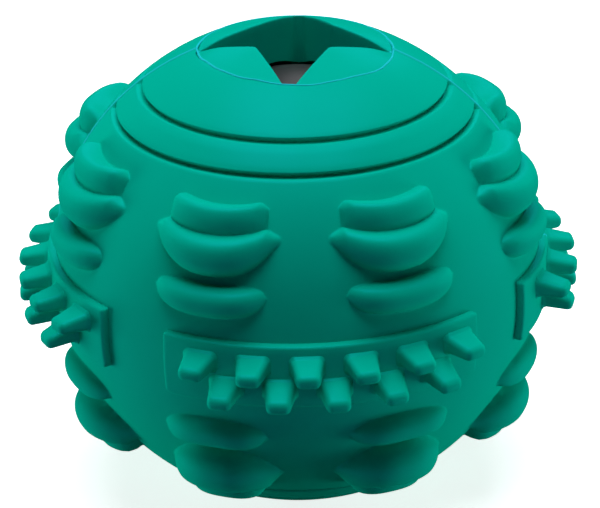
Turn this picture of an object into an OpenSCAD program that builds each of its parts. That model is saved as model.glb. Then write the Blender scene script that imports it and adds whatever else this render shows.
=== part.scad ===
// Treat dispensing ball: a rubber jacket in two bonded halves, a star mouth
// bonded into each end, and a hard treat capsule that turns freely inside.
// Origin at the centre of the ball, Z through both mouths, seam in the XZ plane.

/* [Jacket] */
// Diameter of the ball without its teeth and ridges
ball_d = 76; // [70:1:90]
// Thickness of the rubber wall
wall_t = 7; // [6:0.5:8]

/* [Ring grooves] */
// Angle from the pole to the two ring grooves at each end
groove_polar = [37.73, 46.07]; // [34:0.01:50]
// Width of a groove at its mouth
groove_w = 1.1; // [0.8:0.1:1.4]
// Width of a groove at its floor
groove_floor_w = 0.5; // [0.3:0.1:0.7]
// Depth of a groove
groove_depth = 0.9; // [0.5:0.1:1.2]
// Rubber left between a groove's end and the seam
groove_web = 0.35; // [0.2:0.05:1]

/* [Tooth plates] */
// Number of tooth plates round the equator
plate_count = 4; // [4:1:4]
// Azimuth of the first plate's centre, from the front
plate_az = 9.15; // [0:0.05:12]
// Angle that a plate spans
plate_span = 72.5; // [70:0.5:80]
// Height of a plate
plate_h = 9.9; // [9.4:0.1:11]
// Height of a plate's middle above the ball's centre
plate_z = -0.55; // [-0.8:0.05:0]
// Height that a plate stands out of the ball
plate_t = 1.2; // [0.8:0.1:1.8]
// Chamfer along a plate's upper and lower edges
plate_edge = 0.5; // [0.2:0.1:0.8]

/* [Teeth] */
// Teeth in the upper row of a plate
upper_teeth = 6; // [4:1:6]
// Teeth in the lower row of a plate
lower_teeth = 5; // [3:1:5]
// Angle between neighbouring teeth of a row
tooth_pitch = 11.5; // [11:0.05:12]
// Angle from a plate's middle to the middle of its rows of teeth
tooth_shift = 1.3; // [0:0.1:2]
// Reach of a tooth's tip from the face of its plate
tooth_reach = 4.6; // [3.5:0.1:6]
// Width of a tooth at its root
tooth_root_w = 4.7; // [4:0.1:5]
// Width of a tooth at its tip
tooth_tip_w = 3.3; // [2.4:0.1:3.6]
// Height of a tooth at its root
tooth_root_h = 2.8; // [2.4:0.1:3.2]
// Height of a tooth at its tip
tooth_tip_h = 2; // [1.6:0.1:2.2]
// Cut along a tooth's long edges
tooth_cut = 0.45; // [0.3:0.05:0.5]
// Rounding of a tooth's tip
tooth_round = 0.9; // [0.6:0.05:0.9]
// Height of the upper row's roots above the ball's centre
upper_row_top = 2.65; // [2:0.05:3]
// Drop from the upper row to the lower row
row_drop = 3.45; // [3.3:0.05:3.7]

/* [Ridges] */
// Number of ridge groups round the ball, above and below the plates
group_count = 8; // [8:1:8]
// Azimuth of the first group's centre, from the front
group_az = 27.65; // [27:0.05:28]
// Angle that each ridge spans: brow, lid and fold
ridge_span = [27.5, 34, 26.5]; // [20:0.5:34]
// Height that each ridge stands out of the ball
ridge_rise = [3.3, 3.9, 2.4]; // [2:0.1:5]
// Latitude of each ridge's upper edge at its middle
ridge_top_mid = [35.6, 29.6, 20.2]; // [18:0.1:36]
// Latitude of each ridge's upper edge at its ends
ridge_top_end = [38, 31, 18.2]; // [16:0.1:39]
// Latitude of each ridge's lower edge at its middle
ridge_low_mid = [28, 20.2, 11.4]; // [11:0.1:31]
// Latitude of each ridge's lower edge at its ends
ridge_low_end = [30.6, 28.6, 15.6]; // [14:0.1:32]
// Angle by which the ridges below the plates stand further from the equator
lower_shift = 3; // [0:0.1:3.5]
// Depth of a ridge's edges below the ball's surface
ridge_root = 0.5; // [0.3:0.1:1]

/* [Mouths] */
// Diameter of the round hole that a mouth is bonded into
mouth_d = 29.8; // [28:0.2:32]
// Diameter of the flange behind that hole
flange_d = 36; // [34:0.5:38]
// Thickness of the flange at the mouth's neck
flange_t = 1.2; // [0.8:0.1:2]
// Depth of the mouth's flatter dome below the ball's pole
dome_drop = 0.4; // [0.3:0.05:0.8]
// Depth of the flat rest on the flaps below the ball's pole
rest_drop = 1.35; // [1.2:0.05:1.6]
// Rubber left between the star's tips and the rim of the mouth
tip_web = 0.3; // [0.2:0.05:1]
// Half width of the star between its flaps' corners, left to right
corner_x = 5.5; // [5:0.1:6.5]
// Half depth of the star between its flaps' corners, front to back
corner_y = 5; // [4.8:0.1:6]
// Width of the star's blunt front and back ends
blunt_w = 2.4; // [1.5:0.1:3.5]
// Rounding of the flaps' corners
flap_round = 1.1; // [0.5:0.1:1.5]
// Rounding of the star's tips
tip_round = 0.25; // [0.1:0.05:0.4]

/* [Capsule] */
// Running gap between the capsule and the jacket
capsule_gap = 0.6; // [0.4:0.1:1.5]
// Thickness of the capsule's shell
shell_t = 2.4; // [2:0.1:3]
// Diameter of each treat port
port_d = 18; // [14:0.5:20]
// Depth of the bevel round a port
port_bevel = 0.8; // [0.3:0.1:1.2]
// Tilt of the port axis from the pole, towards the back
port_tilt = 45; // [40:1:50]
// Height of the lip that joins the capsule's halves
lip_h = 2; // [1.5:0.1:3]
// Gap on each side of the lip
lip_gap = 0.05; // [0.03:0.01:0.1]
// Angle by which a lip stops short of the half circle at each end
lip_stop = 2; // [1:0.5:4]

/* [Hidden] */
$fn = 96;
overrun = 1;
ball_r = ball_d / 2;
cavity_r = ball_r - wall_t;
reach = ball_r + tooth_reach + plate_t + overrun;
plate_r = ball_r + plate_t;
mouth_r = mouth_d / 2;
flange_r = flange_d / 2;
ledge_z = sqrt(cavity_r * cavity_r - mouth_r * mouth_r) + flange_t;
rim_z = sqrt(ball_r * ball_r - mouth_r * mouth_r);
dome_top = ball_r - dome_drop;
dome_sag = dome_top - rim_z;
dome_r = (mouth_r * mouth_r + dome_sag * dome_sag) / (2 * dome_sag);
rest_z = ball_r - rest_drop;
tip_r = mouth_r - tip_web;
capsule_r = cavity_r - capsule_gap;
capsule_inner_r = capsule_r - shell_t;
lip_inner_r = capsule_inner_r + shell_t / 3;
lip_outer_r = capsule_r - shell_t / 3;
port_r = port_d / 2;
// Steps along and across a ridge
ridge_steps = 12;
ridge_rings = 6;
// Fullness of each ridge's ends, and of its cross-section
end_share = [0.45, 0.8, 0.6];
crown_share = 0.75;
// Angles at which a tooth's rounded tip has its rings
tip_angles = [0, 35, 70];
rubber = [0, 0.58, 0.49];
hard_grey = [0.24, 0.24, 0.25];

function on_ball(r, lat, az) = r * [cos(lat) * sin(az), -cos(lat) * cos(az), sin(lat)];
function blend(a, b, t) = a + (b - a) * t;
function side_of(az) = cos(az) > 0 ? -1 : 1;
function ring_of(points, i) = [for (p = points) p + i];
function plate_x(z) = sqrt(plate_r * plate_r - z * z);

module half_space(side) {
    translate([-reach, side > 0 ? 0 : -reach, -reach]) cube([2 * reach, reach, 2 * reach]);
}

module right_half() {
    intersection() {
        children();
        translate([0, -reach]) square([reach, 2 * reach]);
    }
}

// Section of a bonded mouth, with its neck, its flange and its flatter dome
module mouth_section(top_z) {
    intersection() {
        union() {
            square([mouth_r, top_z]);
            square([flange_r, ledge_z]);
        }
        difference() {
            translate([0, dome_top - dome_r]) circle(dome_r);
            circle(cavity_r);
        }
    }
}

module mouth_seats() {
    for (end = [0, 1]) mirror([0, end]) {
        square([mouth_r, reach]);
        square([flange_r, ledge_z]);
    }
}

module wall_half(side) {
    rotate([0, 0, side > 0 ? 0 : 180]) rotate_extrude(angle = 180) right_half() difference() {
        circle(ball_r);
        circle(cavity_r);
        mouth_seats();
    }
}

// A ring groove with a steep wall towards the pole and a sloping outer wall
module groove(polar, side) {
    web_a = asin(groove_web / (ball_r * sin(polar)));
    rotate([0, 0, (side > 0 ? 0 : 180) + web_a]) rotate_extrude(angle = 180 - 2 * web_a)
        rotate(90 - polar) polygon([
            [ball_r - groove_depth, 0],
            [ball_r + overrun, 0],
            [ball_r + overrun, -groove_w],
            [ball_r, -groove_w],
            [ball_r - groove_depth, -groove_floor_w]]);
}

// The stretch of one tooth plate that lies on one side of the seam
module plate(centre, side) {
    middle = side > 0 ? 180 : 0;
    offset_az = (centre - middle + 540) % 360 - 180;
    low = max(offset_az - plate_span / 2, -90);
    high = min(offset_az + plate_span / 2, 90);
    if (high > low) rotate([0, 0, middle + low - 90]) rotate_extrude(angle = high - low)
        intersection() {
            difference() {
                circle(plate_r);
                circle(ball_r - ridge_root);
            }
            plate_band(plate_z - plate_h / 2, plate_z + plate_h / 2);
        }
}

// The height of a plate, with its upper and lower outer edges chamfered
module plate_band(low, top) {
    polygon([
        [0, low], [plate_x(low) - plate_edge, low], [plate_x(low + plate_edge), low + plate_edge],
        [reach, low + plate_edge], [reach, top - plate_edge],
        [plate_x(top - plate_edge), top - plate_edge], [plate_x(top) - plate_edge, top], [0, top]]);
}

// One ring of a tooth: a rectangle with cut corners, square to the tooth's length
function tooth_ring(x, w, low, high, cut) = [
    [x, -w / 2, low + cut], [x, -w / 2 + cut, low], [x, w / 2 - cut, low], [x, w / 2, low + cut],
    [x, w / 2, high - cut], [x, w / 2 - cut, high], [x, -w / 2 + cut, high], [x, -w / 2, high - cut]];

// A tooth that tapers to a rounded tip, with its underside level
module tooth(az, top_z) {
    low = top_z - tooth_root_h;
    root_x = sqrt(ball_r * ball_r - low * low) - 2 * ridge_root;
    tip_x = plate_r + tooth_reach;
    rings = [
        tooth_ring(root_x, tooth_root_w, low, top_z, tooth_cut),
        for (t = tip_angles)
            let (x = tip_x - tooth_round * (1 - sin(t)), inset = tooth_round * (1 - cos(t)))
            tooth_ring(x, tooth_tip_w - 2 * inset, low + inset, low + tooth_tip_h - inset,
                       tooth_cut * cos(t))];
    n = len(rings[0]);
    sides = [for (k = [0 : len(rings) - 2], i = [0 : n - 1])
        let (a = k * n + i, b = k * n + (i + 1) % n)
        each [[a, a + n, b], [b, a + n, b + n]]];
    caps = [for (i = [1 : n - 2]) each [
        [0, i, i + 1], ring_of([0, i + 1, i], (len(rings) - 1) * n)]];
    rotate([0, 0, az - 90]) polyhedron([for (r = rings) each r], concat(sides, caps));
}

module tooth_row(count, top_z, centre, side) {
    for (i = [0 : count - 1]) {
        az = centre + tooth_shift + (i - (count - 1) / 2) * tooth_pitch;
        from_seam = -side * cos(az) * plate_r;
        if (from_seam > tooth_root_w / 2) tooth(az, top_z);
        else if (from_seam > -tooth_root_w / 2) intersection() {
            tooth(az, top_z);
            half_space(side);
        }
    }
}

// A rounded ridge whose outline bends between two curved edges
module ridge(k, az, shift) {
    span = ridge_span[k] / 2;
    depth = ridge_rise[k] + ridge_root;
    points = [for (i = [0 : ridge_steps], j = [0 : ridge_rings])
        let (u = -cos(180 * i / ridge_steps),
             v = (1 - cos(180 * j / ridge_rings)) / 2,
             low = blend(ridge_low_mid[k], ridge_low_end[k], u * u),
             top = blend(ridge_top_mid[k], ridge_top_end[k], u * u),
             swell = pow(max(0, sin(180 * i / ridge_steps)), end_share[k])
                   * pow(max(0, sin(180 * j / ridge_rings)), crown_share))
        on_ball(ball_r - ridge_root + depth * swell, blend(low, top, v) + shift, az + span * u)];
    m = ridge_rings + 1;
    crown = [for (i = [0 : ridge_steps - 1], j = [0 : ridge_rings - 1])
        let (a = i * m + j) each [[a, a + 1, a + m], [a + 1, a + m + 1, a + m]]];
    base = [for (i = [0 : ridge_steps - 1])
        let (a = i * m, b = a + ridge_rings)
        each [[a, a + m, b], [b, a + m, b + m]]];
    last = ridge_steps * m;
    ends = [for (j = [1 : ridge_rings - 1]) each [
        [0, j + 1, j], ring_of([0, j, j + 1], last)]];
    polyhedron(points, concat(crown, base, ends));
}

module half_shell(side) {
    color(rubber) {
        difference() {
            wall_half(side);
            for (end = [0, 1], polar = groove_polar) mirror([0, 0, end]) groove(polar, side);
        }
        for (i = [0 : plate_count - 1]) {
            centre = plate_az + i * 360 / plate_count;
            plate(centre, side);
            tooth_row(upper_teeth, upper_row_top, centre, side);
            tooth_row(lower_teeth, upper_row_top - row_drop, centre, side);
        }
        for (i = [0 : group_count - 1]) {
            az = group_az + i * 360 / group_count;
            if (side_of(az) == side)
                for (k = [0 : 2], end = [0, 1]) mirror([0, 0, end]) ridge(k, az, end * lower_shift);
        }
    }
}

module front_shell() { half_shell(-1); }
module back_shell() { half_shell(1); }

// The star between the four flaps: pointed at left and right, blunt at front and back
module star() {
    quarter = [[tip_r, 0], [corner_x, corner_y], [blunt_w / 2, tip_r]];
    offset(r = tip_round) offset(delta = -tip_round)
        offset(r = -flap_round) offset(delta = flap_round)
            polygon([
                quarter[0], quarter[1], quarter[2],
                [-quarter[2].x, quarter[2].y], [-quarter[1].x, quarter[1].y], -quarter[0],
                -quarter[1], -quarter[2],
                [quarter[2].x, -quarter[2].y], [quarter[1].x, -quarter[1].y]]);
}

module mouth() {
    color(rubber) difference() {
        rotate_extrude() right_half() mouth_section(rest_z);
        linear_extrude(reach) star();
    }
}

module top_mouth() { mouth(); }
module bottom_mouth() { mirror([0, 0, 1]) mouth(); }

// Half of the capsule: a port at its pole, a lip on one side and its socket on the other
module capsule_half() {
    color(hard_grey) {
        difference() {
            rotate_extrude() intersection() {
                difference() {
                    circle(capsule_r);
                    circle(capsule_inner_r);
                }
                square(reach);
            }
            cylinder(h = reach, r = port_r);
            port_edge();
            rotate([0, 0, 180]) rotate_extrude(angle = 180)
                translate([lip_inner_r, -overrun])
                    square([lip_outer_r - lip_inner_r, lip_h + lip_gap + overrun]);
        }
        rotate([0, 0, lip_stop]) rotate_extrude(angle = 180 - 2 * lip_stop)
            translate([lip_inner_r + lip_gap, -lip_h])
                square([lip_outer_r - lip_inner_r - 2 * lip_gap, lip_h + lip_gap]);
    }
}

// The bevel round a port, from the capsule's outside
module port_edge() {
    edge_z = sqrt(capsule_r * capsule_r - port_r * port_r);
    translate([0, 0, edge_z - port_bevel])
        cylinder(h = 2 * port_bevel, r1 = port_r, r2 = port_r + 2 * port_bevel);
}

module capsule_half_a() { rotate([-port_tilt, 0, 0]) capsule_half(); }
module capsule_half_b() { rotate([180 - port_tilt, 0, 0]) capsule_half(); }

front_shell();
back_shell();
top_mouth();
bottom_mouth();
capsule_half_a();
capsule_half_b();
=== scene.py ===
# %% [markdown]
# # A treat dispensing ball
# A teal rubber ball for a dog to chew. Its hollow jacket is moulded in two halves, a star mouth
# is bonded into each end, and a hard capsule full of treats turns loose inside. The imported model
# gives every piece its place and its size; here each piece gets its full shape and its finish.

import math

import bpy
import numpy as np
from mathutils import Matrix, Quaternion, Vector


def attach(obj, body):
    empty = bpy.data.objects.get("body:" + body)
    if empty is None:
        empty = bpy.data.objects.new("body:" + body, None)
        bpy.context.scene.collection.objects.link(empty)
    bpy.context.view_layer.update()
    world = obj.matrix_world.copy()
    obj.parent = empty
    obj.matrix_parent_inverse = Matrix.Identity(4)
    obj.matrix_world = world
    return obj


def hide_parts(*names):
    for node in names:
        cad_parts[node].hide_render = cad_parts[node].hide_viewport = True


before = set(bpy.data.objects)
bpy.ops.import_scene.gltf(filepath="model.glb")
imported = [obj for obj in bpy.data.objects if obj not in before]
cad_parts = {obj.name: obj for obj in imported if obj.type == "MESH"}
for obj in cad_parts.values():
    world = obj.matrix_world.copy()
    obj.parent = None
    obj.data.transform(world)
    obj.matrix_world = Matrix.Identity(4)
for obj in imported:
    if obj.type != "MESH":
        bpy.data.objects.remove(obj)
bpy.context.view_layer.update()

# %% [markdown]
# ## Sizes that several pieces share
# The real ball is made to millimetres and Blender works in metres, so one factor turns one into
# the other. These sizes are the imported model's own, so every piece made here fits its solid. R
# stands for a radius, and Z for a height above the middle of the ball.

# %% Shared sizes
MM = 0.001
BALL_MM = 38
BALL_R = BALL_MM * MM
CAVITY_R = 31 * MM
PLATE_R = 39.2 * MM
MOUTH_R = 14.9 * MM
FLANGE_R = 18 * MM
LEDGE_Z = 28.38 * MM
CAPSULE_R = 30.4 * MM
NEAR = 0.1 * MM
print("ball diameter in mm:", 2 * BALL_R / MM)

# %% [markdown]
# ## Working by hand, in code
# A modeller selects things before each step. These few helpers do that: they clear the selection,
# open a piece for editing, and pick faces or edges by where they lie. Each operator then acts only
# on what was picked.

# %% Put a piece down and pick it up
def put_down():
    """Leaves edit mode with nothing selected."""
    if bpy.context.object and bpy.context.object.mode != "OBJECT":
        bpy.ops.object.mode_set(mode="OBJECT")
    bpy.ops.object.select_all(action="DESELECT")


def pick_up(piece):
    """Selects one piece alone and makes it the active one."""
    put_down()
    piece.select_set(True)
    bpy.context.view_layer.objects.active = piece

# %% Open a piece with some of it selected
def edit(piece, kind, test):
    """Opens a piece and selects the vertices, edges or faces whose centre passes the test."""
    pick_up(piece)
    bpy.ops.object.mode_set(mode="EDIT")
    bpy.ops.mesh.select_mode(type=kind)
    bpy.ops.mesh.select_all(action="DESELECT")
    bpy.ops.object.mode_set(mode="OBJECT")
    mesh = piece.data
    points = [v.co for v in mesh.vertices]
    items = {"VERT": mesh.vertices, "EDGE": mesh.edges, "FACE": mesh.polygons}[kind]
    for item in items:
        if kind == "VERT":
            item.select = bool(test(item.co))
        else:
            ends = [points[i] for i in item.vertices]
            item.select = bool(test(sum(ends, Vector()) / len(ends), ends))
    bpy.ops.object.mode_set(mode="EDIT")

# %% Read and move the points of a piece
def points_of(piece):
    """The points of a piece, one row of x, y and z for each."""
    flat = np.empty(len(piece.data.vertices) * 3)
    piece.data.vertices.foreach_get("co", flat)
    return flat.reshape(-1, 3)


def move_points(piece, points):
    """Moves every point of a piece to the row that it has in a list like the one above."""
    piece.data.vertices.foreach_set("co", np.asarray(points, float).ravel())
    piece.data.update()

# %% Clean, join, copy and smooth pieces
SAME_PLACE = 0.001 * MM


def tidy_faces(piece):
    """Merges doubles and turns every face outwards."""
    edit(piece, "VERT", lambda p: True)
    bpy.ops.mesh.remove_doubles(threshold=SAME_PLACE)
    bpy.ops.mesh.normals_make_consistent(inside=False)
    put_down()


def join(pieces, name):
    """Makes one piece of several, under a new name."""
    pick_up(pieces[0])
    for piece in pieces:
        piece.select_set(True)
    bpy.ops.object.join()
    whole = bpy.context.object
    whole.name = whole.data.name = name
    put_down()
    return whole


def twin(piece, turn):
    """A copy with its own mesh, turned round the ball's axis."""
    copy = piece.copy()
    copy.data = piece.data.copy()
    bpy.context.collection.objects.link(copy)
    points = points_of(copy)
    c, s = math.cos(turn), math.sin(turn)
    points[:, :2] = points[:, :2] @ np.array([[c, s], [-s, c]])
    move_points(copy, points)
    return copy


def smooth(piece, angle):
    """Smooth shading, with a crisp edge wherever two faces meet at more than the angle."""
    pick_up(piece)
    bpy.ops.object.shade_smooth_by_angle(angle=math.radians(angle))
    put_down()

# %% [markdown]
# ## The camera
# The photograph looks down on the ball by about 25 degrees and a little from the right. The
# camera stands where the outline, the ring grooves and the side line of the ball fall on the same
# pixels as in the photograph. A camera aimed at the ball puts it in the middle of the picture, so
# the lens is shifted until the ball's centre falls on its own pixel, and the camera rolls by a
# degree to level the grooves.

# %% Camera
VIEW_AZ, VIEW_EL = math.radians(3.31), math.radians(25.47)
CAMERA_ROLL = math.radians(-0.98)
CAMERA_DISTANCE = 0.38
PICTURE_W, PICTURE_H = 600, 508
CENTRE_X, CENTRE_Y = 297.80, 257.70
camera_place = CAMERA_DISTANCE * Vector((math.cos(VIEW_EL) * math.sin(VIEW_AZ),
                                         -math.cos(VIEW_EL) * math.cos(VIEW_AZ),
                                         math.sin(VIEW_EL)))
lens = bpy.data.cameras.new("camera")
lens.sensor_width = 36
lens.lens = 144.77
lens.shift_x = (PICTURE_W / 2 - CENTRE_X) / PICTURE_W
lens.shift_y = (CENTRE_Y - PICTURE_H / 2) / PICTURE_W
lens.clip_start, lens.clip_end = 0.01, 20
camera = bpy.data.objects.new("camera", lens)
bpy.context.collection.objects.link(camera)
camera.rotation_mode = "QUATERNION"
camera.location = camera_place
camera.rotation_quaternion = ((-camera_place).to_track_quat("-Z", "Y")
                              @ Quaternion((0, 0, 1), CAMERA_ROLL))
bpy.context.scene.camera = camera
print("camera distance in m:", round(camera_place.length, 3))

# %% [markdown]
# ## Expressions for the materials
# A material is a small sum: so much of one colour here, a little rougher there. Each sum could be
# wired up node by node, but that is long to write and hard to read back. The first class lets it
# be written as a Python expression, and adds the node for each operation. The second holds the
# nodes of a material, or of the world, and one method of it adds any other node.

# %% A socket that can be reckoned with
class Wire:
    """A socket that can be added, subtracted, multiplied and so on."""

    def __init__(self, tree, socket):
        self.tree, self.socket = tree, socket

    def _maths(self, operation, a, b=None):
        return self.tree.node("ShaderNodeMath", {"operation": operation},
                              {0: a} if b is None else {0: a, 1: b})

    def __add__(self, other): return self._maths("ADD", self, other)
    def __radd__(self, other): return self._maths("ADD", other, self)
    def __sub__(self, other): return self._maths("SUBTRACT", self, other)
    def __rsub__(self, other): return self._maths("SUBTRACT", other, self)
    def __mul__(self, other): return self._maths("MULTIPLY", self, other)
    def __rmul__(self, other): return self._maths("MULTIPLY", other, self)
    def __pow__(self, other): return self._maths("POWER", self, other)

# %% The nodes of a material or of the world
class Finish:
    """The nodes that a material, or the world, is made of."""

    def __init__(self, owner):
        self.owner = owner
        owner.use_nodes = True
        self.nodes, self.links = owner.node_tree.nodes, owner.node_tree.links
        self.nodes.clear()

    def node(self, kind, settings=None, inputs=None, out=0):
        """Adds a node, sets it, and links or fills its sockets, by name or by number."""
        made = self.nodes.new(kind)
        for name, value in (settings or {}).items():
            setattr(made, name, value)
        for name, value in (inputs or {}).items():
            if isinstance(value, Wire):
                self.links.new(value.socket, made.inputs[name])
            else:
                made.inputs[name].default_value = value
        return Wire(self, made.outputs[out])

    def blend_colours(self, share, a, b):
        """Colour a, with a share of colour b. Sockets 0, 6 and 7 are the share and the colours."""
        a, b = (c if isinstance(c, Wire) else (*c, 1) for c in (a, b))
        return self.node("ShaderNodeMix", {"data_type": "RGBA"}, {0: share, 6: a, 7: b}, out=2)

    def close(self, shader, end="ShaderNodeOutputMaterial"):
        """Makes a shader the owner's surface."""
        self.links.new(shader.socket, self.nodes.new(end).inputs["Surface"])
        return self.owner


def rays(finish, *names):
    """One mask for each kind of ray that is named: 1 for such a ray, and 0 for any other."""
    node = finish.node("ShaderNodeLightPath").socket.node
    return [Wire(finish, node.outputs[name]) for name in names]

# %% [markdown]
# ## Floor, backdrop and light
# The photograph is a cut-out on white. The ball stands on a pale floor that the camera sees as
# white, with a soft shadow. Paper as pale as that would throw light up under the ball, which is
# dark in the photograph, so everything but the camera sees a darker sheet. The world does the same:
# white for the camera, and almost black for the light that it adds. The floor stands a quarter of
# a millimetre above the lowest rubber, which gives that much under the weight of the ball.
#
# The rubber's highlights in the photograph are faint and cool, so mirrored rays see a faint cool
# blue in place of white. Nothing here is metal, so no other piece needs to mirror the white.

# %% Floor
FLOOR_Z = -36.9 * MM
PAPER, SHEET, GLOW = 0.93, 0.24, 0.80
put_down()
bpy.ops.mesh.primitive_plane_add(size=8, location=(0, 0, FLOOR_Z))
floor = bpy.context.object
floor.name = "floor"
paper = Finish(bpy.data.materials.new("white_paper"))
to_camera, through = rays(paper, "Is Camera Ray", "Is Transmission Ray")
pale = paper.node("ShaderNodeBsdfDiffuse", {}, {"Color": (PAPER, PAPER, PAPER, 1)})
dim = paper.node("ShaderNodeBsdfDiffuse", {}, {"Color": (SHEET, SHEET, SHEET, 1)})
glow = paper.node("ShaderNodeEmission", {}, {"Color": (1, 1, 1, 1), "Strength": GLOW})
lit = paper.node("ShaderNodeAddShader", {}, {0: pale, 1: glow})
floor.data.materials.append(paper.close(
    paper.node("ShaderNodeMixShader", {}, {0: to_camera + through, 1: dim, 2: lit})))
print("floor height in mm:", round(FLOOR_Z / MM, 2))

# %% World
FILL, SHEEN = 0.02, 0.06
COOL = (0.02, 0.55, 1)
sky = Finish(bpy.data.worlds.new("studio"))
bpy.context.scene.world = sky.owner
to_camera, through, mirrored = rays(sky, "Is Camera Ray", "Is Transmission Ray", "Is Glossy Ray")
sky.close(sky.node("ShaderNodeBackground", {}, {
    "Color": sky.blend_colours(mirrored, (1, 1, 1), COOL),
    "Strength": FILL + (1 - FILL) * (to_camera + through) + SHEEN * mirrored,
}), "ShaderNodeOutputWorld")
print("world level for light:", FILL)

# %% [markdown]
# ## The lamps
# A wide lamp overhead lights the tops, and a lamp at each side, a little below the middle of the
# ball, lights its flanks, as under a frosted table. The floor therefore lets the low lamps' light
# through. Small lamps would draw hard shadows, which the photograph has nowhere.
#
# These lamps leave the rubber's sheen alone. The highlights in the photograph lie only on faces
# that look straight up, so a separate lamp behind the ball makes them and lights nothing else.

# %% Lamps
def softbox(name, place, width, height, level_at_ball):
    """A lamp aimed at the ball, its strength given as the share of full light it adds there."""
    lamp = bpy.data.lights.new(name, "AREA")
    lamp.shape, lamp.size, lamp.size_y = "RECTANGLE", width, height
    place = Vector(place)
    lamp.energy = level_at_ball * math.pi ** 2 * place.length_squared
    holder = bpy.data.objects.new(name, lamp)
    bpy.context.collection.objects.link(holder)
    holder.location = place
    holder.rotation_mode = "QUATERNION"
    holder.rotation_quaternion = (-place).to_track_quat("-Z", "Y")
    return holder


overhead = softbox("lamp_overhead", (0, 0, 0.50), 0.46, 0.46, 1.24)
overhead.data.color = (1.0, 1.0, 1.10)
side_lamps = [softbox("lamp_right", (0.485, 0.04, -0.12), 0.26, 0.26, 0.66),
              softbox("lamp_left", (-0.485, 0.04, -0.12), 0.26, 0.26, 0.68)]
for lamp in [overhead] + side_lamps:
    lamp.visible_glossy = False
sheen_lamp = softbox("lamp_for_highlights", (0, 0.42, 0.26), 0.40, 0.20, 0.11)
sheen_lamp.visible_diffuse = False
floor.visible_shadow = False
bpy.context.scene.view_settings.view_transform = "Standard"
print("lamps:", [lamp.name for lamp in [overhead] + side_lamps + [sheen_lamp]])

# %% [markdown]
# ## The rubber
# Moulded rubber with a satin skin. The mould was blasted, so the skin has a fine grain, and the
# colour is a touch uneven where the compound flowed. The highlights are cool and soft, and none of
# them is white. One shader with a white highlight would lay a pale haze over the dark sides, so a
# dull body colour carries a thin share of blue-green sheen. Along the thin flash of the seam, a
# painted highlight tints the colour paler and bluer. The bonding rubber round the mouths is also
# painted paler and bluer, as a painted highlight. All of it reads Object coordinates, so the
# grain stays on the ball.

# %% Rubber
# The seam's painted highlight: a pale blue tint that fades out about a third of a millimetre to
# either side of the seam.
SEAM_PAINTED_HIGHLIGHT, SEAM_HIGHLIGHT_FADE = (0.02, 0.60, 0.72), 3000
SHEEN_TINT, SHEEN_SHARE = (0.02, 0.60, 1.0, 1), 0.10
SKIN_DEPTH = 0.06 * MM


def noise(finish, where, scale, detail):
    """Soft random spots, scale of them to the metre."""
    return finish.node("ShaderNodeTexNoise", {}, {
        "Vector": where, "Scale": scale, "Detail": detail})


def moulded_rubber(name, dark, light, seam_highlight_share):
    """Rubber between two tones, with a painted highlight, a pale blue tint, along the seam where
    the y of a point is near zero.
    """
    rubber = Finish(bpy.data.materials.new(name))
    where = rubber.node("ShaderNodeTexCoord", out="Object")
    cloud, grain = noise(rubber, where, 60.0, 3.0), noise(rubber, where, 3200.0, 2.0)
    from_seam = rubber.node("ShaderNodeSeparateXYZ", {}, {"Vector": where}, out="Y")
    painted_seam_highlight = rubber.node("ShaderNodeMath", {"operation": "MAXIMUM"},
                          {0: 1 - (from_seam * SEAM_HIGHLIGHT_FADE) ** 2, 1: 0.0})
    # Painted highlight: the colour is mixed paler and bluer along the seam.
    teal = rubber.blend_colours(seam_highlight_share * painted_seam_highlight, rubber.blend_colours(cloud, dark, light),
                                SEAM_PAINTED_HIGHLIGHT)
    skin = rubber.node("ShaderNodeBump", {}, {
        "Strength": 0.16, "Distance": SKIN_DEPTH, "Height": grain})
    matt = rubber.node("ShaderNodeBsdfPrincipled", {}, {
        "Base Color": teal, "Roughness": 0.6, "Specular IOR Level": 0.0, "Normal": skin})
    sheen = rubber.node("ShaderNodeBsdfAnisotropic", {}, {
        "Color": SHEEN_TINT, "Roughness": 0.28 + 0.08 * grain, "Normal": skin})
    return rubber.close(rubber.node("ShaderNodeMixShader", {}, {
        0: SHEEN_SHARE, 1: matt, 2: sheen}))


# The teal rubber carries the seam's painted highlight at 0.7 of its full strength.
TEAL_RUBBER = moulded_rubber("teal_rubber", (0.0002, 0.432, 0.282), (0.0003, 0.476, 0.311), 0.7)
# The bead's rubber is painted paler and bluer than the body, as a painted highlight.
BEAD_RUBBER_PAINTED_HIGHLIGHT = moulded_rubber("bead_rubber_painted_highlight", (0.015, 0.56, 0.58), (0.015, 0.61, 0.65), 0.0)
print("rubbers:", TEAL_RUBBER.name, BEAD_RUBBER_PAINTED_HIGHLIGHT.name)

# %% [markdown]
# ## The capsule's plastic
# A hard dark grey plastic, smooth but not polished: the lamp shows on it as one wide soft spot. A
# single roughness would do for new plastic, but this ball turns inside the rubber, so soft rub
# marks make it a little rougher and paler in places.

# %% Dark grey plastic
plastic = Finish(bpy.data.materials.new("dark_grey_plastic"))
where = plastic.node("ShaderNodeTexCoord", out="Object")
rub, fine = noise(plastic, where, 240.0, 4.0), noise(plastic, where, 2600.0, 1.0)
dull = plastic.node("ShaderNodeBump", {}, {
    "Strength": 0.08, "Distance": 0.04 * MM, "Height": fine})
GREY_PLASTIC = plastic.close(plastic.node("ShaderNodeBsdfPrincipled", {}, {
    "Base Color": plastic.blend_colours(rub, (0.030, 0.028, 0.028), (0.038, 0.035, 0.035)),
    "Roughness": 0.36 + 0.14 * rub,
    "IOR": 1.5,
    "Normal": dull,
}))
print("plastic:", GREY_PLASTIC.name)

# %% [markdown]
# ## Finishing a piece
# A finished piece gets what it is made of. The solid of the imported model that it stands for
# is hidden, and the piece is hung on the body that it moves with. That could be written out for
# each piece, but one helper keeps it alike. A piece that already wears more than one material
# keeps what it has.

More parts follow.
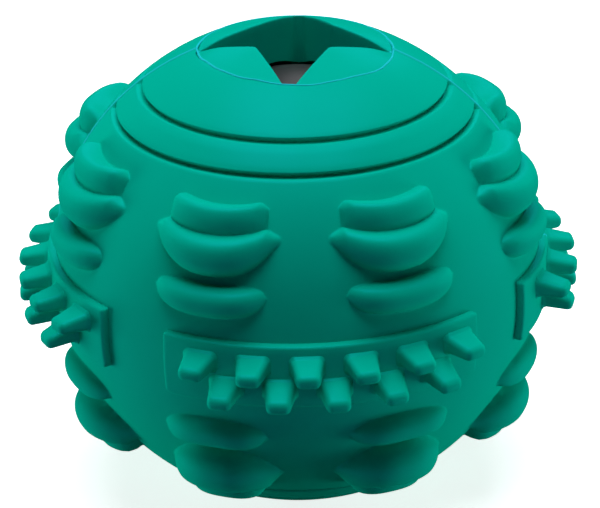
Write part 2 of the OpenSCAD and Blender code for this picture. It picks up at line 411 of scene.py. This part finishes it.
# %% Finish a piece
def finish_piece(piece, material, body, node):
    """Gives a piece its material, hides the solid that it replaces, and hangs it on the body that
    it rides on.
    """
    if material:
        piece.data.materials.clear()
        piece.data.materials.append(material)
    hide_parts(node)
    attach(piece, body)
    faces = len(piece.data.polygons)
    print(piece.name, "faces:", faces, "size in mm:", [round(s / MM, 2) for s in piece.dimensions])

# %% [markdown]
# ## The ridges
# The ridges are moulded with the wall: three thick rolls in each group, like a brow, a lid and a
# fold under an eye. Each roll is round across and arched along, and it has its crest nearer to the
# ball's end than its middle. Rolls made as separate bars and sunk into the ball would meet it in a
# hard line. Here the height of the ridges is a number that is worked out for each point of the
# wall, with a fillet where two heights cross, and later each point is moved straight out by it.
# The lower half of the ball has the same ridges upside down, a little taller and further out.
#
# A crest's place is a number from -1, on the roll's edge nearer to the middle of the ball, to 1, on
# the other edge. The higher a roll's end power, the longer it stays high towards its ends.

# %% Where the ridges run, in degrees
GROUP_PITCH, GROUP_AZ, LOWER_SHIFT = 45, 27.65, 2.8
RIDGE_SPAN = [13.2, 16.4, 13.3]
LID_REACH, CORNER_AT = 16.6, 0.78


def from_group(azimuth):
    """Degrees from the middle of the nearest group of ridges."""
    return (azimuth - GROUP_AZ + GROUP_PITCH / 2) % GROUP_PITCH - GROUP_PITCH / 2


def share_along(a, reach):
    """0 at the middle of a ridge and 1 at its ends."""
    return np.clip(np.abs(a) / reach, 0, 1)


def brow_edges(a):
    u = share_along(a, RIDGE_SPAN[0])
    corner = share_along(np.maximum(u - CORNER_AT, 0), 1 - CORNER_AT) ** 2
    return 28.0 + 2.6 * u ** 2, 35.9 + 1.7 * u ** 2 - 1.9 * corner


def lid_edges(a):
    u = share_along(a, LID_REACH)
    rising, falling = 1.7 * (u / CORNER_AT) ** 2, 1.7 - 1.8 * (u - CORNER_AT) / (1 - CORNER_AT)
    return 20.3 + 8.5 * u ** 2.4, 29.6 + np.where(u < CORNER_AT, rising, falling)


def fold_edges(a):
    u = share_along(a, RIDGE_SPAN[2])
    middle, half = 14.9 + 1.5 * u ** 2, 3.5 * np.sqrt(1 - u ** 4) + 0.02
    return middle - half, middle + half


RIDGE_EDGES = [brow_edges, lid_edges, fold_edges]
for edges in RIDGE_EDGES:
    print(edges.__name__, "at the middle:", [round(float(e), 2) for e in edges(0.0)])

# %% Heights of the ridges, in mm
DEGREE = BALL_MM * math.pi / 180
RISE_ABOVE, RISE_BELOW = [3.7, 4.0, 2.8], [4.4, 4.8, 2.9]
CREST_ABOVE, CREST_BELOW = [0.42, 0.20, 0.15], [0.30, 0.45, 0.60]
END_POWER = [3.0, 2.3, 3.2]
SHORTER_BELOW, NARROWER_BELOW = [1.16, 1.05, 1.03], [1.2, 0.0, 1.0]
FAR_BELOW, FALL_OUTSIDE = -9.0, 1.5
FILLET_BETWEEN, FILLET_TO_BALL = 0.6, 0.35


def soft_max(a, b, reach):
    """The larger of two heights, with a fillet where they cross."""
    blend = np.maximum(reach - np.abs(a - b), 0) / reach
    return np.maximum(a, b) + blend * blend * reach / 4


def ridge_height(azimuth, lat):
    """Height over the ball, in mm, of three rolls that are round across and arched along."""
    above = lat > 0
    lat = np.where(above, lat, -lat - LOWER_SHIFT)
    from_middle = from_group(azimuth)
    rolls = np.full_like(lat, FAR_BELOW)
    for k, edges in enumerate(RIDGE_EDGES):
        a = from_middle * np.where(above, 1, SHORTER_BELOW[k])
        low, top = edges(a)
        low_mid, top_mid = edges(0.0)
        top = np.where(above, top, top - NARROWER_BELOW[k])
        half = (top - low) / 2 * DEGREE
        w = (lat - (low + top) / 2) * DEGREE
        t = w / half
        crest = np.where(above, CREST_ABOVE[k], CREST_BELOW[k])
        t = np.where(t > crest, (t - crest) / (1 - crest), (t - crest) / (1 + crest))
        across = np.sqrt(np.clip(1 - t * t, 0, 1))
        along = np.sqrt(1 - share_along(a, RIDGE_SPAN[k]) ** END_POWER[k])
        narrow = np.clip(half / ((top_mid - low_mid) / 2 * DEGREE), 0, 1) ** 0.8
        past_end = (np.abs(a) - RIDGE_SPAN[k]) * DEGREE * np.cos(np.radians(lat))
        outside = np.hypot(np.maximum(np.abs(w) - half, 0), np.maximum(past_end, 0))
        rise = np.where(above, RISE_ABOVE[k], RISE_BELOW[k])
        roll = rise * across * along * narrow - FALL_OUTSIDE * outside
        rolls = soft_max(rolls, roll, FILLET_BETWEEN)
    return soft_max(rolls, np.zeros_like(rolls), FILLET_TO_BALL)


print("lid's height in mm:", ridge_height(np.array([GROUP_AZ]), np.array([26.0])).round(2))

# %% [markdown]
# ## Half of the jacket: the wall
# The wall is a hollow half ball with a round hole at each end, two ring grooves at each end and a
# seat for each mouth's flange. It could be a ball cut in half and hollowed, but then the grooves
# would need cutting too. A section drawn once and spun through half a turn gives the wall, the
# grooves and the seats together, as a lathe would.
#
# The rows of the section follow the ridges' edges and are close together there, and so are the
# columns at the ridges' ends, so that each edge stays crisp.

# %% Rows and columns of the wall
EQUATOR_ROWS, RIDGES_FROM, RIDGES_TO, LID_ROW_TOP = (3, 6), 9.4, 41.5, 27.6
GUIDE_ROWS = [6, 18, 8, 20, 20, 8]
GROOVES = (46.07, 37.73)
ROWS_PAST_GROOVES = ((45.8, 48.0), (54, 57, 60, 63, 65.5, 66.91))
GROOVE_SHAPE = [(-1.72, 0), (-1.60, 0.05), (-0.82, 0.82), (-0.70, 0.9),
                (-0.10, 0.9), (0.0, 0.8), (0.0, 0.12), (0.10, 0.02), (0.22, 0)]
BESIDE_SEAM, LAST_COLUMN = [0, 0.22, 0.42, 0.62, 0.85, 1.1], 88.6
COLUMN_STOPS, COLUMN_COUNTS = [-22.5, -18.6, -10, 10, 18.6, 22.5], [4, 22, 21, 22, 4]


def guide_lines(a):
    """Lines that the rows follow across a ridge group, in degrees above the equator."""
    brow_low, brow_top = brow_edges(a)
    lid_low = np.minimum(lid_edges(a)[0], LID_ROW_TOP)
    fold_low, fold_top = fold_edges(a)
    return [RIDGES_FROM, fold_low - 0.15, np.minimum(fold_top + 0.2, lid_low - 0.9),
            lid_low - 0.1, brow_low + 0.8, brow_top + 0.3, RIDGES_TO]


def rows_above():
    """Rows from the equator to the mouth. A guided row lies between two guide lines, by a share.
    A fixed row has a latitude, and a depth below the ball's surface."""
    rows = [("fixed", lat, 0) for lat in EQUATOR_ROWS]
    for guide, count in enumerate(GUIDE_ROWS):
        rows += [("guide", guide, (1 - math.cos(math.pi * i / count)) / 2) for i in range(count)]
    rows.append(("guide", len(GUIDE_ROWS) - 1, 1.0))
    for from_pole, latitudes in zip(GROOVES, ROWS_PAST_GROOVES):
        rows += [("fixed", 90 - from_pole + place, depth) for place, depth in GROOVE_SHAPE]
        rows += [("fixed", lat, 0) for lat in latitudes]
    return rows


def columns():
    """Azimuths from one side of the seam to the other, close together at the ridges' ends."""
    group = np.concatenate([np.linspace(a, b, count)[:-1] for a, b, count in
                            zip(COLUMN_STOPS, COLUMN_STOPS[1:], COLUMN_COUNTS)])
    turned = np.concatenate([group + GROUP_AZ + GROUP_PITCH * k for k in range(-3, 4)])
    inner = turned[np.abs(turned) < LAST_COLUMN]
    beside = np.array(BESIDE_SEAM)
    return np.concatenate([-90 + beside, inner, 90 - beside[::-1]])


ROWS = rows_above()
COLUMNS = columns()[::-1]
print("rows above the equator:", len(ROWS), "columns:", len(COLUMNS))

# %% Inside of the wall
CAVITY_POINTS = 17
cavity_edge = math.acos(FLANGE_R / CAVITY_R)
INSIDE = ([(MOUTH_R, LEDGE_Z), (FLANGE_R, LEDGE_Z)]
          + [(CAVITY_R * math.cos(t), CAVITY_R * math.sin(t))
             for t in np.linspace(cavity_edge, -cavity_edge, CAVITY_POINTS)]
          + [(FLANGE_R, -LEDGE_Z), (MOUTH_R, -LEDGE_Z)])
LOOP_COUNT = 2 * len(ROWS) + 1 + len(INSIDE)
print("points round the section:", LOOP_COUNT)

# %% Shape of one column of the wall
SEAM_WEB, GROOVE_RUN_OUT = 0.35, 0.2
FLASH_W, FLASH_H = 0.34, 0.22
LESS_ROOM_BELOW = 2.25


def outer_column(azimuth, above):
    """Latitudes and radii in mm of the outside rows of one column, above or below the equator.
    The grooves stop at a web beside the seam, and the seam carries a thin raised flash."""
    shift = 0 if above else LOWER_SHIFT
    guides = guide_lines(from_group(azimuth))
    if not above:
        guides[-1] -= LESS_ROOM_BELOW
    lat = np.array([value if kind == "fixed" else
                    guides[value] + (guides[value + 1] - guides[value]) * share + shift
                    for kind, value, share in ROWS])
    depth = np.array([share if kind == "fixed" else 0 for kind, value, share in ROWS])
    guided = np.array([kind == "guide" for kind, value, share in ROWS])
    from_seam = BALL_MM * np.cos(np.radians(lat)) * math.radians(90 - abs(azimuth))
    open_share = np.clip((from_seam - SEAM_WEB) / GROOVE_RUN_OUT, 0, 1)
    flash = FLASH_H * np.clip(1 - (from_seam / FLASH_W) ** 2, 0, 1)
    return lat, BALL_MM - depth * open_share + flash, guided

# %% Spin the wall
def spin_wall():
    """A loop spun through half a turn, with every point then moved to its column and row."""
    put_down()
    bpy.ops.mesh.primitive_circle_add(vertices=LOOP_COUNT, radius=BALL_R, fill_type="NOTHING")
    wall = bpy.context.object
    edit(wall, "VERT", lambda p: True)
    bpy.ops.mesh.spin(steps=len(COLUMNS) - 1, angle=math.pi, center=(0, 0, 0), axis=(0, 0, 1))
    put_down()
    lats, radii, ridged = [], [], []
    for azimuth in COLUMNS:
        up_lat, up_r, up_guided = outer_column(azimuth, True)
        down_lat, down_r, down_guided = outer_column(azimuth, False)
        lats.append(np.concatenate([-down_lat[::-1], [0], up_lat]))
        radii.append(np.concatenate([down_r[::-1], [BALL_MM], up_r]))
        ridged.append(np.concatenate([down_guided[::-1], [False], up_guided]))
    lats, radii, ridged = np.array(lats), np.array(radii), np.array(ridged)
    azimuths = np.broadcast_to(COLUMNS[:, None], lats.shape)
    radii[ridged] += ridge_height(azimuths[ridged], lats[ridged])
    places = []
    for azimuth, lat, r in zip(COLUMNS, np.radians(lats), radii * MM):
        rho = np.concatenate([r * np.cos(lat), [p[0] for p in INSIDE]])
        z = np.concatenate([r * np.sin(lat), [p[1] for p in INSIDE]])
        turn = math.radians(azimuth)
        places.append(np.stack([rho * math.sin(turn), -rho * math.cos(turn), z], 1))
    move_points(wall, np.concatenate(places))
    return wall


wall = spin_wall()
edit(wall, "EDGE", lambda mid, ends: all(abs(p.y) < SAME_PLACE for p in ends))
bpy.ops.mesh.edge_face_add()
put_down()
tidy_faces(wall)
print("wall of half a jacket, faces:", len(wall.data.polygons))

# %% [markdown]
# ## A tooth plate
# A raised band round part of the ball's middle, with the teeth on it. A bent bar could be spun
# like the wall, but its end corners would then be square. It is a flat bar first: a block with its
# corners rounded and its outer edge bevelled. Cuts across it let it bend, and then it is wrapped
# round the ball. Bending last keeps the bevels even all the way round.

# %% Make one plate flat
PLATE_SPAN = math.radians(72.5)
PLATE_H, PLATE_Z, BAR_DEPTH = 9.9 * MM, -0.55 * MM, 1.7 * MM
LOW_CORNER, TOP_CORNER, OUTER_EDGE = 0.9 * MM, 0.35 * MM, 0.42 * MM
plate_length = PLATE_SPAN * PLATE_R
put_down()
bpy.ops.mesh.primitive_cube_add(size=1, location=(0, BAR_DEPTH / 2, PLATE_Z),
                                scale=(plate_length, BAR_DEPTH, PLATE_H))
plate = bpy.context.object
bpy.ops.object.transform_apply(location=True, rotation=False, scale=True)


def is_corner(low_ones):
    """A test for the short edges across the bar's thickness, at its low or its high corners."""
    def test(mid, ends):
        across = abs(ends[0].y - ends[-1].y) > BAR_DEPTH / 2
        return across and (mid.z < PLATE_Z) == low_ones
    return test


edit(plate, "EDGE", is_corner(True))
bpy.ops.mesh.bevel(offset=LOW_CORNER, segments=5)
edit(plate, "EDGE", is_corner(False))
bpy.ops.mesh.bevel(offset=TOP_CORNER, segments=3)
edit(plate, "EDGE", lambda mid, ends: all(p.y < NEAR for p in ends))
bpy.ops.mesh.bevel(offset=OUTER_EDGE, segments=3)
print("flat bar, length in mm:", round(plate_length / MM, 1))

# %% Cut the plate across and wrap it round the ball
CUTS_ALONG, CUTS_UP = 60, 8


def cut(place, normal):
    """Cuts the open piece across, and keeps both sides."""
    bpy.ops.mesh.select_all(action="SELECT")
    bpy.ops.mesh.bisect(plane_co=place, plane_no=normal)


edit(plate, "VERT", lambda p: True)
for i in range(1, CUTS_ALONG):
    cut((plate_length * (i / CUTS_ALONG - 0.5), 0, 0), (1, 0, 0))
for i in range(1, CUTS_UP):
    cut((0, 0, PLATE_Z + PLATE_H * (i / CUTS_UP - 0.5)), (0, 0, 1))
put_down()
flat = points_of(plate)
bend = flat[:, 0] / PLATE_R
rho = np.sqrt((PLATE_R - flat[:, 1]) ** 2 - flat[:, 2] ** 2)
move_points(plate, np.stack([rho * np.sin(bend), -rho * np.cos(bend), flat[:, 2]], 1))
tidy_faces(plate)
print("one plate, faces:", len(plate.data.polygons))

# %% [markdown]
# ## A tooth
# A blunt peg that tapers to a rounded tip and flares where it meets its plate, so that it does not
# tear. A bevel could round the tip, but not evenly on a face as narrow as this, so the tip is drawn
# out in steps that follow a quarter of a circle. Its root is drawn out in small steps for the
# flare, and one more sinks it into the plate. It is modelled once, in front of the ball.

# %% Make one tooth
TOOTH_TIP, TOOTH_ROOT = 43.75 * MM, 39.75 * MM
ROOT_W, TIP_W, ROOT_H, TIP_H = 4.6 * MM, 3.6 * MM, 2.80 * MM, 2.20 * MM
TIP_ROUND, LONG_EDGES = 0.95 * MM, 0.85 * MM
ROOT_STEPS = ((0.38 * MM, 1.05, 1.08), (0.22 * MM, 1.10, 1.17), (0.6 * MM, 1.0, 1.0))
put_down()
straight_end = TOOTH_TIP - TIP_ROUND
bpy.ops.mesh.primitive_cube_add(size=1, location=(0, -(straight_end + TOOTH_ROOT) / 2, ROOT_H / 2),
                                scale=(ROOT_W, straight_end - TOOTH_ROOT, ROOT_H))
tooth = bpy.context.object
bpy.ops.object.transform_apply(location=True, rotation=False, scale=True)


def at_tip(mid, ends):
    return mid.y < -straight_end + NEAR


edit(tooth, "FACE", at_tip)
bpy.ops.transform.resize(value=(TIP_W / ROOT_W, 1, TIP_H / ROOT_H),
                         center_override=(0, -straight_end, 0))
edit(tooth, "EDGE", lambda mid, ends: abs(ends[0].y - ends[-1].y) > TIP_ROUND)
bpy.ops.mesh.bevel(offset=LONG_EDGES, segments=5)
edit(tooth, "FACE", at_tip)
width, height, out = TIP_W, TIP_H, 0.0
for t in map(math.radians, (20, 40, 60, 78)):
    inset, reach = TIP_ROUND * (1 - math.cos(t)), TIP_ROUND * math.sin(t)
    bpy.ops.mesh.extrude_region_move(TRANSFORM_OT_translate={"value": (0, out - reach, 0)})
    bpy.ops.transform.resize(value=((TIP_W - 2 * inset) / width, 1, (TIP_H - 2 * inset) / height),
                             center_override=(0, -straight_end, TIP_H / 2))
    width, height, out = TIP_W - 2 * inset, TIP_H - 2 * inset, reach
edit(tooth, "FACE", lambda mid, ends: mid.y > -TOOTH_ROOT - NEAR)
for step, wider, taller in ROOT_STEPS:
    bpy.ops.mesh.extrude_region_move(TRANSFORM_OT_translate={"value": (0, step, 0)})
    bpy.ops.transform.resize(value=(wider, 1, taller), center_override=(0, 0, ROOT_H / 2))
put_down()
tidy_faces(tooth)
print("one tooth, faces:", len(tooth.data.polygons))

# %% [markdown]
# ## The two halves of the jacket
# Four plates go round the ball, and the seam runs through the two at its sides. Each plate has six
# teeth above five, and the lower row leans down a little. Half of each side plate could be made as
# a piece of its own; instead each half of the jacket gets whole plates and teeth, and what lies
# past the seam is cut off and closed. The teeth stand a little to one side on their plates, as in
# the photograph.

# %% Place the plates and teeth of one half
PLATE_AZ, TOOTH_PITCH = 9.15, 11.5
TEETH_ASIDE = [1.5, 3.2, 1.5, -0.4]
TOOTH_ROWS = ((6, -0.15 * MM, 0.0), (5, -3.75 * MM, -0.14))


def cut_at_seam(piece, side):
    """Keeps the part of a piece that lies on one side of the seam, and closes the cut."""
    ys = points_of(piece)[:, 1] * side
    if ys.max() < 0:
        bpy.data.objects.remove(piece)
        return None
    if ys.min() < 0:
        edit(piece, "VERT", lambda p: True)
        bpy.ops.mesh.bisect(plane_co=(0, 0, 0), plane_no=(0, side, 0), use_fill=True,
                            clear_inner=True)
        put_down()
    return piece


def plates_and_teeth(side):
    """The plates and teeth on one side of the seam. A leaning tooth is lowered towards its tip."""
    made = []
    for k, aside in enumerate(TEETH_ASIDE):
        centre = PLATE_AZ + 90 * k
        made.append(cut_at_seam(twin(plate, math.radians(centre)), side))
        for count, height, lean in TOOTH_ROWS:
            for i in range(count):
                az = centre + aside + (i - (count - 1) / 2) * TOOTH_PITCH
                peg = twin(tooth, math.radians(az))
                points = points_of(peg)
                out = np.hypot(points[:, 0], points[:, 1]) - TOOTH_ROOT
                points[:, 2] += height + lean * np.maximum(out, 0)
                move_points(peg, points)
                made.append(cut_at_seam(peg, side))
    return [piece for piece in made if piece]

# %% Join each half of the jacket
for name, side, turn in (("front", -1, 0.0), ("back", 1, math.pi)):
    jacket = join([twin(wall, turn)] + plates_and_teeth(side), name + "_jacket")
    smooth(jacket, 50)
    finish_piece(jacket, TEAL_RUBBER, "jacket", name + "_shell")
for spare in (wall, plate, tooth):
    bpy.data.objects.remove(spare)

# %% [markdown]
# ## The star mouth
# Four flaps of softer rubber, bonded into the jacket's round hole. A treat pushes them apart. A
# grid is laid round the star as one closed band: up the wall of the star, over its rounded edge,
# across the flaps to the rim, down to the flange, and back along the inside. Laying the band by
# numbers keeps its rows parallel to the star, which a cut through a dome would not.

# %% Outline of the star, in mm
TIP_R = 14.66
STAR = [(TIP_R, 0, 0.25), (5.4, 4.9, 1.3), (0.8, 14.75, 0.7), (-0.8, 14.75, 0.7), (-5.4, 4.9, 1.3),
        (-TIP_R, 0, 0.25), (-5.4, -4.9, 1.3), (-0.8, -14.75, 0.7), (0.8, -14.75, 0.7),
        (5.4, -4.9, 1.3)]
ARC_STEPS, SPACING = 8, 0.45


def between(start, end):
    """Points along a straight line, without its ends."""
    steps = max(1, int(np.linalg.norm(end - start) / SPACING))
    return [start + (end - start) * s / steps for s in range(1, steps)]


def rounded_outline(corners):
    """Points round a polygon whose corners are (x, y, radius), and the way outwards at each."""
    points = []
    count = len(corners)
    for i, (x, y, radius) in enumerate(corners):
        here = np.array([x, y])
        before = np.array(corners[i - 1][:2]) - here
        after = np.array(corners[(i + 1) % count][:2]) - here
        before, after = before / np.linalg.norm(before), after / np.linalg.norm(after)
        half = math.acos(np.clip(before @ after, -1, 1)) / 2
        middle = (before + after) / np.linalg.norm(before + after)
        centre = here + middle * radius / math.sin(half)
        first = here + before * radius / math.tan(half)
        last = here + after * radius / math.tan(half)
        if points:
            points += between(points[-1], first)
        a0, a1 = first - centre, last - centre
        turn = math.atan2(a0[0] * a1[1] - a0[1] * a1[0], a0 @ a1)
        for s in range(ARC_STEPS + 1):
            t = turn * s / ARC_STEPS
            c, n = math.cos(t), math.sin(t)
            points.append(centre + np.array([c * a0[0] - n * a0[1], n * a0[0] + c * a0[1]]))
    points = np.array(points + between(points[-1], points[0]))
    ahead = np.roll(points, -1, 0) - np.roll(points, 1, 0)
    outward = np.stack([ahead[:, 1], -ahead[:, 0]], 1)
    return points, outward / np.linalg.norm(outward, axis=1)[:, None]


star, star_out = rounded_outline(STAR)
print("points round the star:", len(star))

# %% Rows of the band, in mm
DOME_TOP, DOME_R, SIDE_TIP_DIP, CORNER_RISE, SPREAD = 37.6, 43.32, 0.5, 0.3, 3.0
CORNER_X, CORNER_Y = 5.0, 4.5
RIM, FLANGE, UNDER_RIM, CAVITY = 14.9, 17.95, 28.4, 31.0
EDGE_ROUND, MOST_ROOM = 0.4, 0.6
WALL_SHARES = (0, 0.3, 0.6, 0.85, 1)
EDGE_TURNS = np.radians((18, 36, 54, 72, 90))
FLAP_SHARES = (0.06, 0.14, 0.25, 0.38, 0.52, 0.66, 0.8, 0.91, 1)
BACK_SHARES = (0.25, 0.5, 0.75)


def flap_top(p):
    """Height of the flaps' upper face: a flat dome, with the star's side tips a little low and
    its inner corners a little high."""
    x, y = p[:, 0], p[:, 1]
    side_tip = np.exp(-((np.abs(x) - TIP_R) ** 2 + y * y) / SPREAD ** 2)
    corner = np.exp(-((np.abs(x) - CORNER_X) ** 2 + (np.abs(y) - CORNER_Y) ** 2) / SPREAD ** 2)
    dome = DOME_TOP - DOME_R + np.sqrt(DOME_R ** 2 - (x * x + y * y))
    return dome - SIDE_TIP_DIP * side_tip + CORNER_RISE * corner


def on_cavity(p):
    """Height of the jacket's round cavity."""
    return np.sqrt(CAVITY ** 2 - (p ** 2).sum(1))


def band_rows():
    """Each row is the points of one line round the star, and their heights."""
    from_middle = np.linalg.norm(star, axis=1)
    radial = star / from_middle[:, None]
    rim, flange = radial * RIM, radial * FLANGE
    low, top = on_cavity(star), flap_top(star) - EDGE_ROUND
    rows = [(star, low + (top - low) * share) for share in WALL_SHARES]
    rounding = np.minimum(EDGE_ROUND, MOST_ROOM * (RIM - from_middle))
    for t in EDGE_TURNS:
        p = star + star_out * (rounding * (1 - math.cos(t)))[:, None]
        rows.append((p, flap_top(p) - EDGE_ROUND * (1 - math.sin(t))))
    edge = rows[-1][0]
    for share in FLAP_SHARES:
        p = edge + (rim - edge) * share
        rows.append((p, flap_top(p)))
    under = np.full(len(star), UNDER_RIM)
    rows += [(rim, under), (flange, under), (flange, on_cavity(flange))]
    for share in BACK_SHARES:
        p = flange + (star - flange) * share
        rows.append((p, on_cavity(p)))
    return rows


print("rows across the band:", len(band_rows()))

# %% Lay the band round the star
def lay_band(end):
    """A grid with its points moved to the rows. Its first and last rows and columns meet."""
    rows = band_rows()
    put_down()
    bpy.ops.mesh.primitive_grid_add(x_subdivisions=len(star), y_subdivisions=len(rows),
                                    size=2 * MOUTH_R)
    band = bpy.context.object
    places = []
    for p, z in rows + [rows[0]]:
        closed = np.concatenate([p, p[:1]])
        heights = np.concatenate([z, z[:1]])
        places.append(np.column_stack([closed, end * heights]))
    move_points(band, np.concatenate(places) * MM)
    tidy_faces(band)
    band.data.materials.append(TEAL_RUBBER)
    return band

# %% [markdown]
# ## The raised line where a mouth is bonded in
# Bonding rubber is squeezed out round the mouth and sets as a thin bead. It could be one more row
# of the band, but it carries a painted highlight, a paler and bluer colour, and it wanders to
# either side of the joint. So it is a thin ring, sunk a little past its middle, with its points
# moved in and out by a wave. Where it wanders outwards it also runs down the slope of the ball.

# %% Make the mouths with their raised lines
BEAD_RING, BEAD_R, BEAD_Z, SLOPE = 14.85, 0.18, 34.887, 0.42
WAVE_AT = [-180, -120, -90, -65, -20, -3, 10, 38, 62, 90, 130, 180]
WAVE_OUT = [0.1, -0.1, 0, -0.70, -0.60, -0.05, 0.05, -0.12, 0.42, 0.1, -0.15, 0.1]


def bond_line(end, phase):
    """The bead. The wave is in mm, for degrees from the front of the ball."""
    put_down()
    bpy.ops.mesh.primitive_torus_add(major_segments=288, minor_segments=8,
                                     major_radius=BEAD_RING * MM, minor_radius=BEAD_R * MM)
    bead = bpy.context.object
    p = points_of(bead)
    angle = np.arctan2(p[:, 1], p[:, 0])
    wave = np.interp((np.degrees(angle) + 90 + 180) % 360 - 180, WAVE_AT, WAVE_OUT)
    wave += 0.05 * np.sin(9 * angle + 2.1 * phase) + 0.04 * np.sin(17 * angle - phase)
    r = np.hypot(p[:, 0], p[:, 1])
    p[:, :2] *= ((r + wave * MM) / r)[:, None]
    p[:, 2] = end * (p[:, 2] + (BEAD_Z - SLOPE * wave) * MM)
    move_points(bead, p)
    tidy_faces(bead)
    # The bead wears the rubber with the painted highlight.
    bead.data.materials.append(BEAD_RUBBER_PAINTED_HIGHLIGHT)
    return bead


for place, end, phase in (("top", 1, 0.6), ("bottom", -1, 2.3)):
    mouth = join([lay_band(end), bond_line(end, phase)], place + "_star_mouth")
    smooth(mouth, 45)
    finish_piece(mouth, None, "jacket", place + "_mouth")

# %% [markdown]
# ## The treat capsule
# A hard hollow ball in two halves, each with a round port. A half could be spun from a section, as
# the jacket was. But it is even all over, so a sphere is cut in half and its port is cut off its
# pole; the Solidify modifier gives the wall its thickness inwards, and the Bevel modifier breaks
# the edges, so the port has a bevel and the halves meet in a fine line.

# %% Make the two halves of the capsule
PORT_R, SHELL_T, BROKEN_EDGE = 9 * MM, 2.4 * MM, 0.25 * MM
PORT_TILT = math.radians(45)


def capsule_half(name, tilt, node):
    """A half with its port upwards, then tilted back about the axis that the capsule turns on."""
    put_down()
    bpy.ops.mesh.primitive_uv_sphere_add(segments=128, ring_count=96, radius=CAPSULE_R)
    half = bpy.context.object
    half.name = name
    edit(half, "VERT", lambda p: True)
    bpy.ops.mesh.bisect(plane_co=(0, 0, 0), plane_no=(0, 0, 1), clear_inner=True)
    bpy.ops.mesh.select_all(action="SELECT")
    port_z = math.sqrt(CAPSULE_R ** 2 - PORT_R ** 2)
    bpy.ops.mesh.bisect(plane_co=(0, 0, port_z), plane_no=(0, 0, 1), clear_outer=True)
    pick_up(half)
    thicken = half.modifiers.new("thicken", "SOLIDIFY")
    thicken.thickness, thicken.offset = SHELL_T, -1
    bpy.ops.object.modifier_apply(modifier=thicken.name)
    edges = half.modifiers.new("edges", "BEVEL")
    edges.width, edges.segments = BROKEN_EDGE, 3
    edges.limit_method, edges.angle_limit = "ANGLE", math.radians(40)
    bpy.ops.object.modifier_apply(modifier=edges.name)
    points = points_of(half)
    c, s = math.cos(tilt), math.sin(tilt)
    y, z = points[:, 1].copy(), points[:, 2].copy()
    points[:, 1], points[:, 2] = c * y + s * z, -s * y + c * z
    move_points(half, points)
    tidy_faces(half)
    smooth(half, 40)
    finish_piece(half, GREY_PLASTIC, "capsule", node)


capsule_half("capsule_upper_half", PORT_TILT, "capsule_half_a")
capsule_half("capsule_lower_half", PORT_TILT + math.pi, "capsule_half_b")
